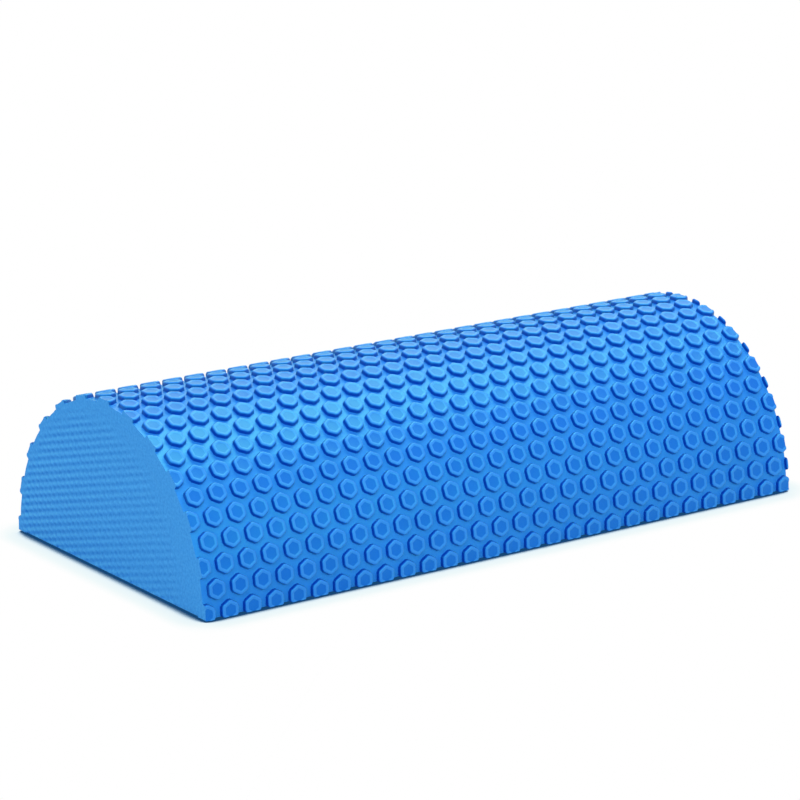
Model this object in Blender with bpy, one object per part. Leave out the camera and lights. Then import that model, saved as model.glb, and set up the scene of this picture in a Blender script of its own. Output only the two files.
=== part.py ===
"""Half round foam roller for yoga, pilates and therapy exercise.

A closed-cell foam core, half of a round log, carries an embossed cover sheet that is bonded over its arc.
Both are trimmed flush at the ends and along the flat underside. Metres, +Z up: X runs along the roller,
-Y is the front, and the origin is at the middle of the underside.
"""

from math import ceil, cos, pi, sin, sqrt

import bmesh
import bpy
from mathutils import Matrix, Vector

# The whole roller, over the tops of the bumps
LENGTH = 0.300
DIAMETER = 0.148

# The cover sheet: its thickness in the grooves, and the bumps embossed on it
SHEET_THICKNESS = 0.004
BUMP_HEIGHT = 0.002
BUMP_PITCH = 0.01064
GROOVE_WIDTH = 0.0021

# The bond line between core and sheet
BOND_GAP = 0.0003

ARC_FACETS = 48
SHARP_ANGLE = pi / 6

GROOVE_RADIUS = DIAMETER / 2 - BUMP_HEIGHT
LINING_RADIUS = GROOVE_RADIUS - SHEET_THICKNESS
CORE_RADIUS = LINING_RADIUS - BOND_GAP
SHEET_WIDTH = pi * GROOVE_RADIUS

# The hexagon cells that the bumps stand on fill the sheet: their flats face along a row, their points across
CELL_RADIUS = BUMP_PITCH / sqrt(3)
ROW_SPACING = CELL_RADIUS * 3 / 2

# Two points this close are one
WELD_DISTANCE = GROOVE_WIDTH / 1000

COVER_COLOUR = (0.022, 0.225, 0.780)
COVER_ROUGHNESS = 0.45
CORE_COLOUR = (0.048, 0.290, 0.720)
CORE_ROUGHNESS = 0.70


def clear_scene():
    for item in list(bpy.data.objects):
        bpy.data.objects.remove(item, do_unlink=True)


def foam_material(name, colour, roughness):
    material = bpy.data.materials.new(name)
    material.use_nodes = True
    shader = material.node_tree.nodes["Principled BSDF"]
    shader.inputs["Base Color"].default_value = (*colour, 1)
    shader.inputs["Roughness"].default_value = roughness
    shader.inputs["Metallic"].default_value = 0
    return material


def add_object(name, bm, material):
    """Turns a finished bmesh into a smooth-shaded object with crisp cut edges."""
    bmesh.ops.recalc_face_normals(bm, faces=bm.faces)
    mesh = bpy.data.meshes.new(name)
    bm.to_mesh(mesh)
    bm.free()
    mesh.shade_smooth()
    mesh.set_sharp_from_angle(angle=SHARP_ANGLE)
    mesh.materials.append(material)
    piece = bpy.data.objects.new(name, mesh)
    bpy.context.scene.collection.objects.link(piece)
    return piece


def arc_profile(bm, radius, x):
    """Points of the half circle at one end, from the front of the underside over the crest to the back."""
    turns = [pi * step / ARC_FACETS for step in range(ARC_FACETS + 1)]
    return [bm.verts.new((x, -radius * cos(turn), radius * sin(turn))) for turn in turns]


def make_foam_core():
    """Half a log: the half disc of one end, extruded along the roller."""
    bm = bmesh.new()
    end = bm.faces.new(arc_profile(bm, CORE_RADIUS, -LENGTH / 2))
    grown = bmesh.ops.extrude_face_region(bm, geom=[end])["geom"]
    far_points = [part for part in grown if isinstance(part, bmesh.types.BMVert)]
    bmesh.ops.translate(bm, verts=far_points, vec=(LENGTH, 0, 0))
    return add_object("foam_core", bm, foam_material("core_foam", CORE_COLOUR, CORE_ROUGHNESS))


def lay_cells(bm):
    """Covers the flat sheet with hexagon cells: even rows have one in the middle, odd rows a groove."""
    rows = ceil((SHEET_WIDTH / 2 + CELL_RADIUS) / ROW_SPACING)
    columns = ceil(LENGTH / 2 / BUMP_PITCH) + 1
    for row in range(-rows, rows + 1):
        shift = BUMP_PITCH / 2 if row % 2 else 0
        for column in range(-columns, columns + 1):
            centre = Vector((column * BUMP_PITCH + shift, row * ROW_SPACING, 0))
            place = Matrix.Translation(centre)
            bmesh.ops.create_circle(bm, cap_ends=True, radius=CELL_RADIUS, segments=6, matrix=place)
    bmesh.ops.remove_doubles(bm, verts=bm.verts, dist=WELD_DISTANCE)


def emboss_bumps(bm):
    """Raises a bump in each cell whose middle lies on the sheet. The others stay as flat as the grooves."""
    bumps = []
    for cell in bm.faces:
        middle = cell.calc_center_median()
        if abs(middle.x) < LENGTH / 2 and abs(middle.y) < SHEET_WIDTH / 2:
            bumps.append(cell)
    bmesh.ops.inset_individual(
        bm, faces=bumps, thickness=GROOVE_WIDTH / 2, depth=BUMP_HEIGHT, use_even_offset=True
    )


def trim_sheet(bm):
    """Cuts the flat sheet to the roller's length and to the length of its arc, through whatever bump is there."""
    for edge, outward in (
        (Vector((LENGTH / 2, 0, 0)), Vector((1, 0, 0))),
        (Vector((0, SHEET_WIDTH / 2, 0)), Vector((0, 1, 0))),
    ):
        for side in (1, -1):
            everything = bm.verts[:] + bm.edges[:] + bm.faces[:]
            bmesh.ops.bisect_plane(
                bm, geom=everything, plane_co=edge * side, plane_no=outward * side, clear_outer=True
            )


def edge_points(bm, axis, level):
    """The sheet's points along one trimmed edge, in order."""
    across = 1 - axis
    found = [point for point in bm.verts if abs(point.co[axis] - level) < WELD_DISTANCE]
    return sorted(found, key=lambda point: point.co[across])


def bend_sheet(bm):
    """Wraps the flat sheet over the core, with its grooves on the groove radius."""
    for point in bm.verts:
        along, across, height = point.co
        turn = across / GROOVE_RADIUS
        radius = GROOVE_RADIUS + height
        point.co = (along, radius * sin(turn), radius * cos(turn))


def close_sheet(bm, left, right, front, back):
    """Adds the sheet's smooth lining and its four cut edges."""
    lining_left = arc_profile(bm, LINING_RADIUS, -LENGTH / 2)
    lining_right = arc_profile(bm, LINING_RADIUS, LENGTH / 2)
    for step in range(ARC_FACETS):
        bm.faces.new(
            (lining_left[step], lining_left[step + 1], lining_right[step + 1], lining_right[step])
        )
    bm.faces.new(left + lining_left[::-1])
    bm.faces.new(right + lining_right[::-1])
    bm.faces.new(front + [lining_right[0], lining_left[0]])
    bm.faces.new(back + [lining_right[-1], lining_left[-1]])


def make_bump_cover():
    """The embossed sheet, made flat as it is bought, trimmed, and bent over the core."""
    bm = bmesh.new()
    lay_cells(bm)
    emboss_bumps(bm)
    trim_sheet(bm)
    left = edge_points(bm, 0, -LENGTH / 2)
    right = edge_points(bm, 0, LENGTH / 2)
    front = edge_points(bm, 1, -SHEET_WIDTH / 2)
    back = edge_points(bm, 1, SHEET_WIDTH / 2)
    bend_sheet(bm)
    close_sheet(bm, left, right, front, back)
    return add_object("bump_cover", bm, foam_material("cover_foam", COVER_COLOUR, COVER_ROUGHNESS))


clear_scene()
make_foam_core()
make_bump_cover()
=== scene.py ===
"""How the half round foam roller looks: its cut foam core, its embossed cover, and the studio around it."""

from math import cos, pi, radians, sin, sqrt

import bpy
from mathutils import Euler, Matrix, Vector


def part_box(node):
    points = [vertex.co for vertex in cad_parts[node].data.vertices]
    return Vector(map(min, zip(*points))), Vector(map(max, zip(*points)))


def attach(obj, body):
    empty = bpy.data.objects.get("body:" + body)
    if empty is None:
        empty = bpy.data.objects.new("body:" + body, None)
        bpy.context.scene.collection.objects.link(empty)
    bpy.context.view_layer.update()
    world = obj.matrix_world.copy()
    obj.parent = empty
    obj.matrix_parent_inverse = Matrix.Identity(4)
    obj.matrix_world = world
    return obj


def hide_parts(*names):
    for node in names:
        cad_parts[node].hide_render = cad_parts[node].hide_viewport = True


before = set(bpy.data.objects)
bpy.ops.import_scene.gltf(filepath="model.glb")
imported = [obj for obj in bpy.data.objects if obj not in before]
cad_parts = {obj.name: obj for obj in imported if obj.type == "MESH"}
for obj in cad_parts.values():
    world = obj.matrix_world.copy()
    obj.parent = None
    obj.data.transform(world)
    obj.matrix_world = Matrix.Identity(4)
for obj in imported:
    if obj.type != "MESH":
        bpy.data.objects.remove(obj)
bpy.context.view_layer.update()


# The foam core
# Half a log of firm closed-cell foam. Its ends keep the crossed lines of the tool that cut it, and its lower
# end edges are worn a little round. It carries the load, and the cover is bonded over its arc.

MM = 0.001
# Places closer together than this are the same
HAIR = 0.01 * MM
# A face lies flat if its normal points up or down by more than this
LEVEL = 0.99

core_low, core_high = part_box("foam_core")
LENGTH = core_high.x - core_low.x
# The bond line is too thin to see, so the core swells almost to the cover
SWELL = 0.28 * MM
CORE_RADIUS = core_high.z + SWELL
CORE_SIDES = 144
CORE_SHARP_ANGLE = radians(46)
# The worn edge under each end, from the end down to the underside: how far each step goes down, and inwards
FOOT_STEPS = ((0.35 * MM, 0.12 * MM), (1.15 * MM, 2.30 * MM))
FOOT_HEIGHT = sum(down for down, inwards in FOOT_STEPS)

# Two families of lines cross each end. A family's tilt is from the underside, and is above 0 where its lines
# rise towards the front.
LINE_SPACING = 3.08 * MM
LINE_TILTS = (radians(15.2), radians(-39.2))
LINE_DEPTHS = (0.30 * MM, 0.22 * MM)
# They fill a circle whose middle lies behind the roller's, and fade between these two distances from it
LINE_MIDDLE = 8 * MM
LINE_REACH = (60 * MM, 67 * MM)
# They stop this far from the arc
RIM_MARGIN = 0.5 * MM
# A point is at the bottom of a line if it is nearer to it than this share of their spacing
LINE_SHARE = 0.02


def start_shape(name):
    """Names the primitive that was just added and bakes its place into its mesh."""
    piece = bpy.context.object
    piece.name = name
    piece.data.name = name
    bpy.ops.object.transform_apply(location=True, rotation=True, scale=True)
    return piece


def select_parts(piece, parts, wanted):
    """Selects the vertices, edges or polygons of a piece that pass a test, and nothing else."""
    bpy.ops.object.mode_set(mode="OBJECT")
    for every in (piece.data.vertices, piece.data.edges, piece.data.polygons):
        every.foreach_set("select", [False] * len(every))
    for part in getattr(piece.data, parts):
        part.select = wanted(part)
    bpy.ops.object.mode_set(mode="EDIT")
    kind = {"vertices": "VERT", "edges": "EDGE", "polygons": "FACE"}[parts]
    bpy.ops.mesh.select_mode(type=kind)


bpy.ops.object.select_all(action="DESELECT")
bpy.ops.mesh.primitive_circle_add(
    vertices=CORE_SIDES,
    radius=CORE_RADIUS,
    fill_type="NGON",
    location=(-LENGTH / 2, 0, 0),
    rotation=(0, -pi / 2, 0),
)
core = start_shape("foam_core_block")
bpy.ops.object.mode_set(mode="EDIT")
bpy.ops.mesh.select_all(action="SELECT")
bpy.ops.mesh.bisect(plane_co=(0, 0, FOOT_HEIGHT), plane_no=(0, 0, 1), clear_inner=True)

# The end is divided along the bottom of each line, and halfway to the next
for tilt in LINE_TILTS:
    across = Vector((0, sin(tilt), cos(tilt)))
    steps = int(CORE_RADIUS / LINE_SPACING * 2) + 1
    for step in range(-steps, steps + 1):
        bpy.ops.mesh.select_all(action="SELECT")
        bpy.ops.mesh.bisect(plane_co=across * (step * LINE_SPACING / 2), plane_no=across)


def on_line(point, across, reach):
    """Whether a point of the end is at the bottom of a line, off the rim, and within reach of the middle."""
    count = point.co.dot(across) / LINE_SPACING
    off_rim = point.co.yz.length < CORE_RADIUS - RIM_MARGIN and point.co.z > FOOT_HEIGHT + HAIR
    inside = (point.co - Vector((point.co.x, LINE_MIDDLE, 0))).length < reach
    return off_rim and inside and abs(count - round(count)) < LINE_SHARE


# The lines are pressed in to half their depth, and to the whole of it further in
for tilt, depth in zip(LINE_TILTS, LINE_DEPTHS):
    across = Vector((0, sin(tilt), cos(tilt)))
    for reach in LINE_REACH:
        select_parts(core, "vertices", lambda point: on_line(point, across, reach))
        bpy.ops.transform.translate(value=(depth / 2, 0, 0))
bpy.ops.object.mode_set(mode="OBJECT")

# The far end is the near one mirrored, and the arc and the underside join the two
mirror = core.modifiers.new("far_end", "MIRROR")
mirror.use_mirror_merge = False
bpy.ops.object.modifier_apply(modifier=mirror.name)
bpy.ops.object.mode_set(mode="EDIT")
bpy.ops.mesh.select_mode(type="EDGE")
bpy.ops.mesh.select_all(action="DESELECT")
bpy.ops.mesh.select_non_manifold()
bpy.ops.mesh.bridge_edge_loops()
bpy.ops.mesh.select_all(action="SELECT")
bpy.ops.mesh.normals_make_consistent(inside=False)

# The underside goes down to the floor in steps that draw the ends in
select_parts(core, "polygons", lambda face: face.normal.z < -LEVEL)
bpy.ops.mesh.dissolve_faces()
half_length = LENGTH / 2
for down, inwards in FOOT_STEPS:
    bpy.ops.mesh.extrude_region_move(TRANSFORM_OT_translate={"value": (0, 0, -down)})
    bpy.ops.transform.resize(value=(1 - inwards / half_length, 1, 1), center_override=(0, 0, 0))
    half_length -= inwards
bpy.ops.object.mode_set(mode="OBJECT")
bpy.ops.object.shade_smooth_by_angle(angle=CORE_SHARP_ANGLE)
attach(core, "root")
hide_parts("foam_core")


class Shade:
    """An output socket of a material or of the world. Without one, it only starts new nodes.

    An expression on it adds Math nodes, and node() adds any other node.
    """

    def __init__(self, tree, socket=None):
        self.tree = tree
        self.socket = socket

    def node(self, kind, settings=(), inputs=(), output=0):
        """Adds a node with its settings and its inputs' values or links, and gives one of its outputs."""
        made = self.tree.nodes.new(kind)
        for name, value in dict(settings).items():
            if name == "stops":
                for _ in value[2:]:
                    made.color_ramp.elements.new(1)
                for element, (place, colour) in zip(made.color_ramp.elements, value):
                    element.position = place
                    element.color = (*colour, 1)
            else:
                setattr(made, name, value)
        for name, value in dict(inputs).items():
            if isinstance(value, Shade):
                self.tree.links.new(value.socket, made.inputs[name])
            else:
                made.inputs[name].default_value = value
        return Shade(self.tree, made.outputs[output])

    def maths(self, operation, *values, clamp=False):
        settings = {"operation": operation, "use_clamp": clamp}
        return self.node("ShaderNodeMath", settings, enumerate(values))

    def __add__(self, other):
        return self.maths("ADD", self, other)

    def __radd__(self, other):
        return self.maths("ADD", other, self)

    def __sub__(self, other):
        return self.maths("SUBTRACT", self, other)

    def __rsub__(self, other):
        return self.maths("SUBTRACT", other, self)

    def __mul__(self, other):
        return self.maths("MULTIPLY", self, other)

    def __rmul__(self, other):
        return self.maths("MULTIPLY", other, self)

    def __truediv__(self, other):
        return self.maths("DIVIDE", self, other)

    def __rtruediv__(self, other):
        return self.maths("DIVIDE", other, self)

    def __pow__(self, other):
        return self.maths("POWER", self, other)

    def __rpow__(self, other):
        return self.maths("POWER", other, self)

    def __abs__(self):
        return self.maths("ABSOLUTE", self)

    def cosine(self):
        return self.maths("COSINE", self)

    def clamped(self):
        """The same number, kept between 0 and 1."""
        return self.maths("ADD", self, 0.0, clamp=True)

    def ramp(self, stops):
        """The colour that this number has between the stops."""
        return self.node("ShaderNodeValToRGB", {"stops": stops}, {"Fac": self})

    def parts(self):
        """The three numbers of a vector."""
        return [self.node("ShaderNodeSeparateXYZ", inputs={0: self}, output=axis) for axis in "XYZ"]

    def times(self, colour):
        """One colour multiplied by another."""
        settings = {"data_type": "RGBA", "blend_type": "MULTIPLY"}
        return self.node("ShaderNodeMix", settings, {0: 1.0, 6: self, 7: colour}, output=2)


def new_material(name, finish):
    """A new material with this finish set on its shader, and that shader."""
    material = bpy.data.materials.new(name)
    material.use_nodes = True
    shader = material.node_tree.nodes["Principled BSDF"]
    for socket, value in finish.items():
        shader.inputs[socket].default_value = value
    return material, shader


def feed(node, name, shade):
    """Links a shade to a node's input of this name."""
    shade.tree.links.new(shade.socket, node.inputs[name])


# Cut foam shows its open cells, which make it dull and finely speckled
CUT_FINISH = {"Roughness": 0.75, "Specular IOR Level": 0.3}
CUT_TONES = ((0.36, (0.034, 0.325, 0.905)), (0.64, (0.054, 0.410, 0.990)))
CUT_CELLS = {"Scale": 900, "Detail": 4}
CUT_BUMP = {"Strength": 0.3, "Distance": 0.3 * MM}
# Painted shade at the bottom of each line and painted light between them stand in for the lines' relief
LINE_PAINTED_SHADE = ((0.0, (1.80, 1.36, 1.14)), (1.0, (0.30, 0.66, 0.84)))
# How much each family counts, and how strong their painted shade is at the front and at the back
LINE_WEIGHTS = (0.72, 0.28)
LINE_STRENGTH = (0.3, 1.0)
# The painted shade and light start this far before each end and are full after this much more
SHADE_START = 1.0 * MM
SHADE_FADE = 0.5 * MM
# Blotches let the limit of the lines wander over this width
BLOTCHES = {"Scale": 90, "Detail": 2}
BLOTCH_WIDTH = 12 * MM

cut, cut_shader = new_material("cut_foam", CUT_FINISH)
place = Shade(cut.node_tree).node("ShaderNodeTexCoord", output="Object")
along, across, height = place.parts()
on_end = ((abs(along) - (LENGTH / 2 - SHADE_START)) / SHADE_FADE).clamped()
blotches = place.node("ShaderNodeTexNoise", inputs={"Vector": place, **BLOTCHES})
backward = across - LINE_MIDDLE
reach = (backward * backward + height * height) ** 0.5 + (blotches - 0.5) * BLOTCH_WIDTH
inside = ((LINE_REACH[1] - reach) / (LINE_REACH[1] - LINE_REACH[0])).clamped()
behind = across / (2 * CORE_RADIUS) + 0.5
strength = behind * (LINE_STRENGTH[1] - LINE_STRENGTH[0]) + LINE_STRENGTH[0]
lines = 0.0
for tilt, weight in zip(LINE_TILTS, LINE_WEIGHTS):
    turns = (across * sin(tilt) + height * cos(tilt)) * (2 * pi / LINE_SPACING)
    lines = lines + (turns.cosine() + 1) * (weight / 2)
cells = place.node("ShaderNodeTexNoise", inputs={"Vector": place, **CUT_CELLS})
speckle = cells.ramp(CUT_TONES)
# Painted shade at the bottom of the lines and painted light between them, on the ends only
painted_line_shade = (lines - 0.5) * on_end * inside * strength + 0.5
feed(cut_shader, "Base Color", speckle.times(painted_line_shade.ramp(LINE_PAINTED_SHADE)))
feed(cut_shader, "Normal", cells.node("ShaderNodeBump", inputs={"Height": cells, **CUT_BUMP}))
core.data.materials.append(cut)


# The bump cover
# An embossed sheet of the same foam, bonded over the arc and trimmed with the core in one cut. Every bump is
# a low rounded hexagon with steep sides, a raised rim and a slightly sunken face.

# A bump's steps from the groove to its face: how far each goes in, and how far up
BUMP_STEPS = (
    (0.16 * MM, 0.22 * MM),
    (0.18 * MM, 1.12 * MM),
    (0.22 * MM, 0.42 * MM),
    (0.38 * MM, 0.24 * MM),
    (0.60 * MM, -0.04 * MM),
    (0.50 * MM, -0.26 * MM),
)
BUMP_HEIGHT = sum(upwards for inwards, upwards in BUMP_STEPS if upwards > 0)
BUMP_PITCH = 10.605 * MM
GROOVE_WIDTH = 2.2 * MM
CORNER_ROUNDING = 0.8 * MM
# The middle bump is this far off the middle of the roller, because of where the cuts fell
BUMP_OFFSET = -0.50 * MM

_, cover_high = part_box("bump_cover")
GROOVE_RADIUS = cover_high.y - BUMP_HEIGHT
SHEET_THICKNESS = 4.0 * MM
# The sheet ends this far above the underside, and its lower corners are worn round
TRIM_SHORT = 0.6 * MM
WORN_CORNER = 1.2 * MM
LINING_FACETS = 48
COVER_SHARP_ANGLE = radians(60)

cell_radius = BUMP_PITCH / sqrt(3)
row_spacing = cell_radius * 3 / 2
sheet_width = pi * GROOVE_RADIUS - 2 * TRIM_SHORT
pair_count = int(sheet_width / 2 / row_spacing) + 1
columns = int(LENGTH / 2 / BUMP_PITCH) + 1

# The first cell of the flat sheet is a hexagon of groove, with a bump that rises from it in steps
first = Vector((BUMP_OFFSET - columns * BUMP_PITCH, -2 * (pair_count // 2) * row_spacing, 0))
bpy.ops.object.select_all(action="DESELECT")
bpy.ops.mesh.primitive_circle_add(vertices=6, radius=cell_radius, fill_type="NGON", location=first)
cover = start_shape("bump_cover_skin")
bpy.ops.object.mode_set(mode="EDIT")
bpy.ops.mesh.select_mode(type="FACE")
bpy.ops.mesh.select_all(action="SELECT")
bpy.ops.mesh.inset(thickness=GROOVE_WIDTH / 2, depth=0)
bpy.ops.mesh.bevel(offset=CORNER_ROUNDING, affect="VERTICES")
select_parts(cover, "polygons", lambda face: (face.center - first).length < HAIR)
for inwards, upwards in BUMP_STEPS:
    bpy.ops.mesh.inset(thickness=inwards, depth=upwards)
bpy.ops.object.mode_set(mode="OBJECT")

# The cell is repeated: a pair of staggered ones, then along the roller, then round the arc
for name, count, offset in (
    ("stagger", 2, (BUMP_PITCH / 2, row_spacing, 0)),
    ("row", 2 * columns + 1, (BUMP_PITCH, 0, 0)),
    ("rows", pair_count + 1, (0, 2 * row_spacing, 0)),
):
    array = cover.modifiers.new(name, "ARRAY")
    array.count = count
    array.use_relative_offset = False
    array.use_constant_offset = True
    array.constant_offset_displace = offset
    array.use_merge_vertices = True
    array.merge_threshold = HAIR
    bpy.ops.object.modifier_apply(modifier=array.name)

# The sheet is trimmed to size through whatever bump is there, and gets its cut edges and its lining
bpy.ops.object.mode_set(mode="EDIT")
bpy.ops.mesh.select_all(action="SELECT")
bpy.ops.mesh.remove_doubles(threshold=HAIR)
for edge, outward in (
    (Vector((LENGTH / 2, 0, 0)), Vector((1, 0, 0))),
    (Vector((0, sheet_width / 2, 0)), Vector((0, 1, 0))),
):
    for side in (1, -1):
        bpy.ops.mesh.select_all(action="SELECT")
        bpy.ops.mesh.bisect(plane_co=edge * side, plane_no=outward * side, clear_outer=True)
bpy.ops.mesh.select_mode(type="EDGE")
bpy.ops.mesh.select_all(action="DESELECT")
bpy.ops.mesh.select_non_manifold()
bpy.ops.mesh.extrude_edges_move(TRANSFORM_OT_translate={"value": (0, 0, -SHEET_THICKNESS)})
bpy.ops.transform.resize(value=(1, 1, 0), center_override=(0, 0, -SHEET_THICKNESS))
bpy.ops.mesh.edge_face_add()

# The lining is divided into strips, so that it can bend
for step in range(1, LINING_FACETS):
    level = sheet_width * (step / LINING_FACETS - 1 / 2)
    select_parts(cover, "polygons", lambda face: face.center.z < -SHEET_THICKNESS + HAIR)
    bpy.ops.mesh.bisect(plane_co=(0, level, 0), plane_no=(0, 1, 0))


def at_corner(edge):
    """Whether an edge stands at one of the four corners of the sheet."""
    ends = [cover.data.vertices[index].co for index in edge.vertices]
    return all(abs(end.x) > LENGTH / 2 - HAIR and abs(end.y) > sheet_width / 2 - HAIR for end in ends)


select_parts(cover, "edges", at_corner)
bpy.ops.mesh.bevel(offset=WORN_CORNER, segments=2, affect="EDGES")
bpy.ops.mesh.select_all(action="SELECT")
bpy.ops.mesh.normals_make_consistent(inside=False)
bpy.ops.object.mode_set(mode="OBJECT")

# The sheet is bent over the core. The bend modifier needs its width along Z, with its back to +Y.
cover.rotation_euler = Euler((pi / 2, 0, 0))
bpy.ops.object.transform_apply(location=True, rotation=True, scale=True)
bend = cover.modifiers.new("bend", "SIMPLE_DEFORM")
bend.deform_method = "BEND"
bend.deform_axis = "X"
bend.angle = sheet_width / GROOVE_RADIUS
bpy.ops.object.modifier_apply(modifier=bend.name)
cover.location = (0, 0, GROOVE_RADIUS)
cover.rotation_euler = Euler((-pi / 2, 0, 0))
bpy.ops.object.transform_apply(location=True, rotation=True, scale=True)

# Large faces keep their flat shading, and the narrow ones between them look round
bpy.ops.object.shade_smooth_by_angle(angle=COVER_SHARP_ANGLE)
normals = cover.modifiers.new("normals", "WEIGHTED_NORMAL")
normals.keep_sharp = True
bpy.ops.object.modifier_apply(modifier=normals.name)
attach(cover, "root")
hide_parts("bump_cover")

# The press left a satin skin. Painted shade makes the bumps' sides deep blue, for the shade in the grooves
# between them. Green in its gloss and sheen makes the lit side of the blue foam cyan.
SKIN_FINISH = {
    "Roughness": 0.40,
    "Specular IOR Level": 1.0,
    "Specular Tint": (0.10, 1.0, 0.25, 1),
    "IOR": 1.65,
    "Sheen Weight": 0.36,
    "Sheen Roughness": 0.4,
    "Sheen Tint": (0.10, 1.0, 0.50, 1),
}
SKIN_FLOOR = (0.018, 0.200, 0.955)
# Painted shade: the bumps' sides are darkened for the shade in the grooves between them
PAINTED_SIDE_SHADE = (0.000, 0.020, 0.500)
SKIN_FACE = (0.000, 0.088, 0.780)
SKIN_RIM = (0.030, 0.207, 0.945)
# Where each tone and the painted shade of the sides is found, as shares of a bump's height over the grooves
SKIN_TONES_AND_SIDE_SHADE = (
    (0.10, SKIN_FLOOR),
    (0.16, PAINTED_SIDE_SHADE),
    (0.68, PAINTED_SIDE_SHADE),
    (0.80, SKIN_FACE),
    (0.86, SKIN_FACE),
    (0.91, SKIN_RIM),
)
# Faint clouds make the tones a little uneven, and a fine grain breaks up the gloss
CLOUDS = {"Scale": 60, "Detail": 3}
CLOUD_TONES = ((0.3, (0.93, 0.96, 0.97)), (0.7, (1.07, 1.04, 1.03)))
GRAIN = {"Scale": 1400, "Detail": 3}
GRAIN_BUMP = {"Strength": 0.12, "Distance": 0.2 * MM}

skin, skin_shader = new_material("cover_skin", SKIN_FINISH)
place = Shade(skin.node_tree).node("ShaderNodeTexCoord", output="Object")
along, across, height = place.parts()
relief = ((across * across + height * height) ** 0.5 - GROOVE_RADIUS) / BUMP_HEIGHT
clouds = place.node("ShaderNodeTexNoise", inputs={"Vector": place, **CLOUDS})
# The height over the grooves picks the skin's tones and the painted shade on the bumps' sides
feed(skin_shader, "Base Color", relief.ramp(SKIN_TONES_AND_SIDE_SHADE).times(clouds.ramp(CLOUD_TONES)))
grain = place.node("ShaderNodeTexNoise", inputs={"Vector": place, **GRAIN})
feed(skin_shader, "Normal", grain.node("ShaderNodeBump", inputs={"Height": grain, **GRAIN_BUMP}))
cover.data.materials.append(skin)
cover.data.materials.append(cut)

# A face is cut foam if it lies this deep under the grooves, or faces up or down at less than this height
SKIN_DEPTH = 0.5 * MM
CUT_HEIGHT = 1.0 * MM


def is_cut(face):
    """Whether a face of the cover is one of its cut edges or its lining, and not its skin."""
    on_end = abs(face.center.x) > LENGTH / 2 - HAIR
    under_skin = face.center.yz.length < GROOVE_RADIUS - SKIN_DEPTH
    lower_edge = abs(face.normal.z) > LEVEL and face.center.z < CUT_HEIGHT
    return on_end or under_skin or lower_edge


for face in cover.data.polygons:
    face.material_index = 1 if is_cut(face) else 0


# The studio
# A white paper floor that runs out of sight, a white room, and four soft lamps. The camera looks at the near
# end and the front of the roller, from a little above.

FLOOR_SIZE = 12
PAPER_FINISH = {"Base Color": (0.55, 0.55, 0.55, 1), "Roughness": 1}
# The lens and the reflections see plain white paper, with the foam's blue shade close to where it rests. The
# tones go from the most hidden paper to the open.
CONTACT_WIDTH = 14 * MM
CONTACT_TONES = (
    (0.52, (0.008, 0.060, 0.170)),
    (0.555, (0.105, 0.210, 0.340)),
    (0.605, (0.50, 0.66, 0.80)),
    (0.66, (0.80, 0.91, 0.96)),
    (0.86, (0.87, 0.95, 0.96)),
    (1.0, (1.0, 1.0, 1.0)),
)
# Past the floor the lens sees the room white, but the foam gets only this much of its light
ROOM_LIGHT = 0.70
# The camera's place, how far down and round it looks and how it leans, and its lens in millimetres
CAMERA_PLACE = (-0.8164, -1.1474, 0.4324)
CAMERA_DOWN = radians(15.22)
CAMERA_ROUND = radians(-35.26)
CAMERA_LEAN = radians(-0.284)
CAMERA_LENS = 154.56

bpy.ops.object.select_all(action="DESELECT")
bpy.ops.mesh.primitive_plane_add(size=FLOOR_SIZE)
floor = bpy.context.object
floor.name = "floor"
paper, paper_shader = new_material("white_paper", PAPER_FINISH)
floor.data.materials.append(paper)
white = Shade(paper.node_tree)
rays = [
    white.node("ShaderNodeLightPath", output=ray)
    for ray in ("Is Camera Ray", "Is Glossy Ray", "Is Transmission Ray")
]
openness = white.node(
    "ShaderNodeAmbientOcclusion", {"samples": 32}, {"Distance": CONTACT_WIDTH}, output="AO"
)
shade = openness.ramp(CONTACT_TONES)
seen = shade.node("ShaderNodeEmission", inputs={"Color": shade})
lit = Shade(paper.node_tree, paper_shader.outputs[0])
surface = white.node("ShaderNodeMixShader", inputs={0: rays[0] + rays[1] + rays[2], 1: lit, 2: seen})
feed(paper.node_tree.nodes["Material Output"], "Surface", surface)

room = bpy.data.worlds.new("studio")
bpy.context.scene.world = room
room.use_nodes = True
walls = room.node_tree.nodes["Background"]
walls.inputs["Color"].default_value = (1, 1, 1, 1)
straight = Shade(room.node_tree).node("ShaderNodeLightPath", output="Is Camera Ray")
feed(walls, "Strength", straight * (1 - ROOM_LIGHT) + ROOM_LIGHT)

# Each lamp is turned to the roller, and is given by its place, its width and its power in watts
for name, spot, width, power in (
    ("overhead_softbox", (0.45, 0.13, 1.10), 0.7, 5.3),
    ("front_softbox", (0.30, -1.30, 0.80), 0.8, 2.8),
    ("left_softbox", (-1.00, -0.90, 0.90), 0.8, 5.1),
    ("back_softbox", (0.80, 1.00, 0.75), 0.8, 2.0),
):
    bpy.ops.object.light_add(type="AREA", location=spot)
    lamp = bpy.context.object
    lamp.name = name
    lamp.data.size = width
    lamp.data.energy = power
    lamp.rotation_euler = Vector(spot).to_track_quat("Z", "Y").to_euler()

bpy.ops.object.camera_add(location=CAMERA_PLACE)
camera = bpy.context.object
camera.rotation_euler = Euler((pi / 2 - CAMERA_DOWN, 0, CAMERA_ROUND))
camera.rotation_euler.rotate_axis("Z", CAMERA_LEAN)
camera.data.sensor_width = 36
camera.data.lens = CAMERA_LENS
camera.data.clip_start = 0.05
camera.data.clip_end = 50
bpy.context.scene.camera = camera
bpy.context.scene.view_settings.view_transform = "Standard"
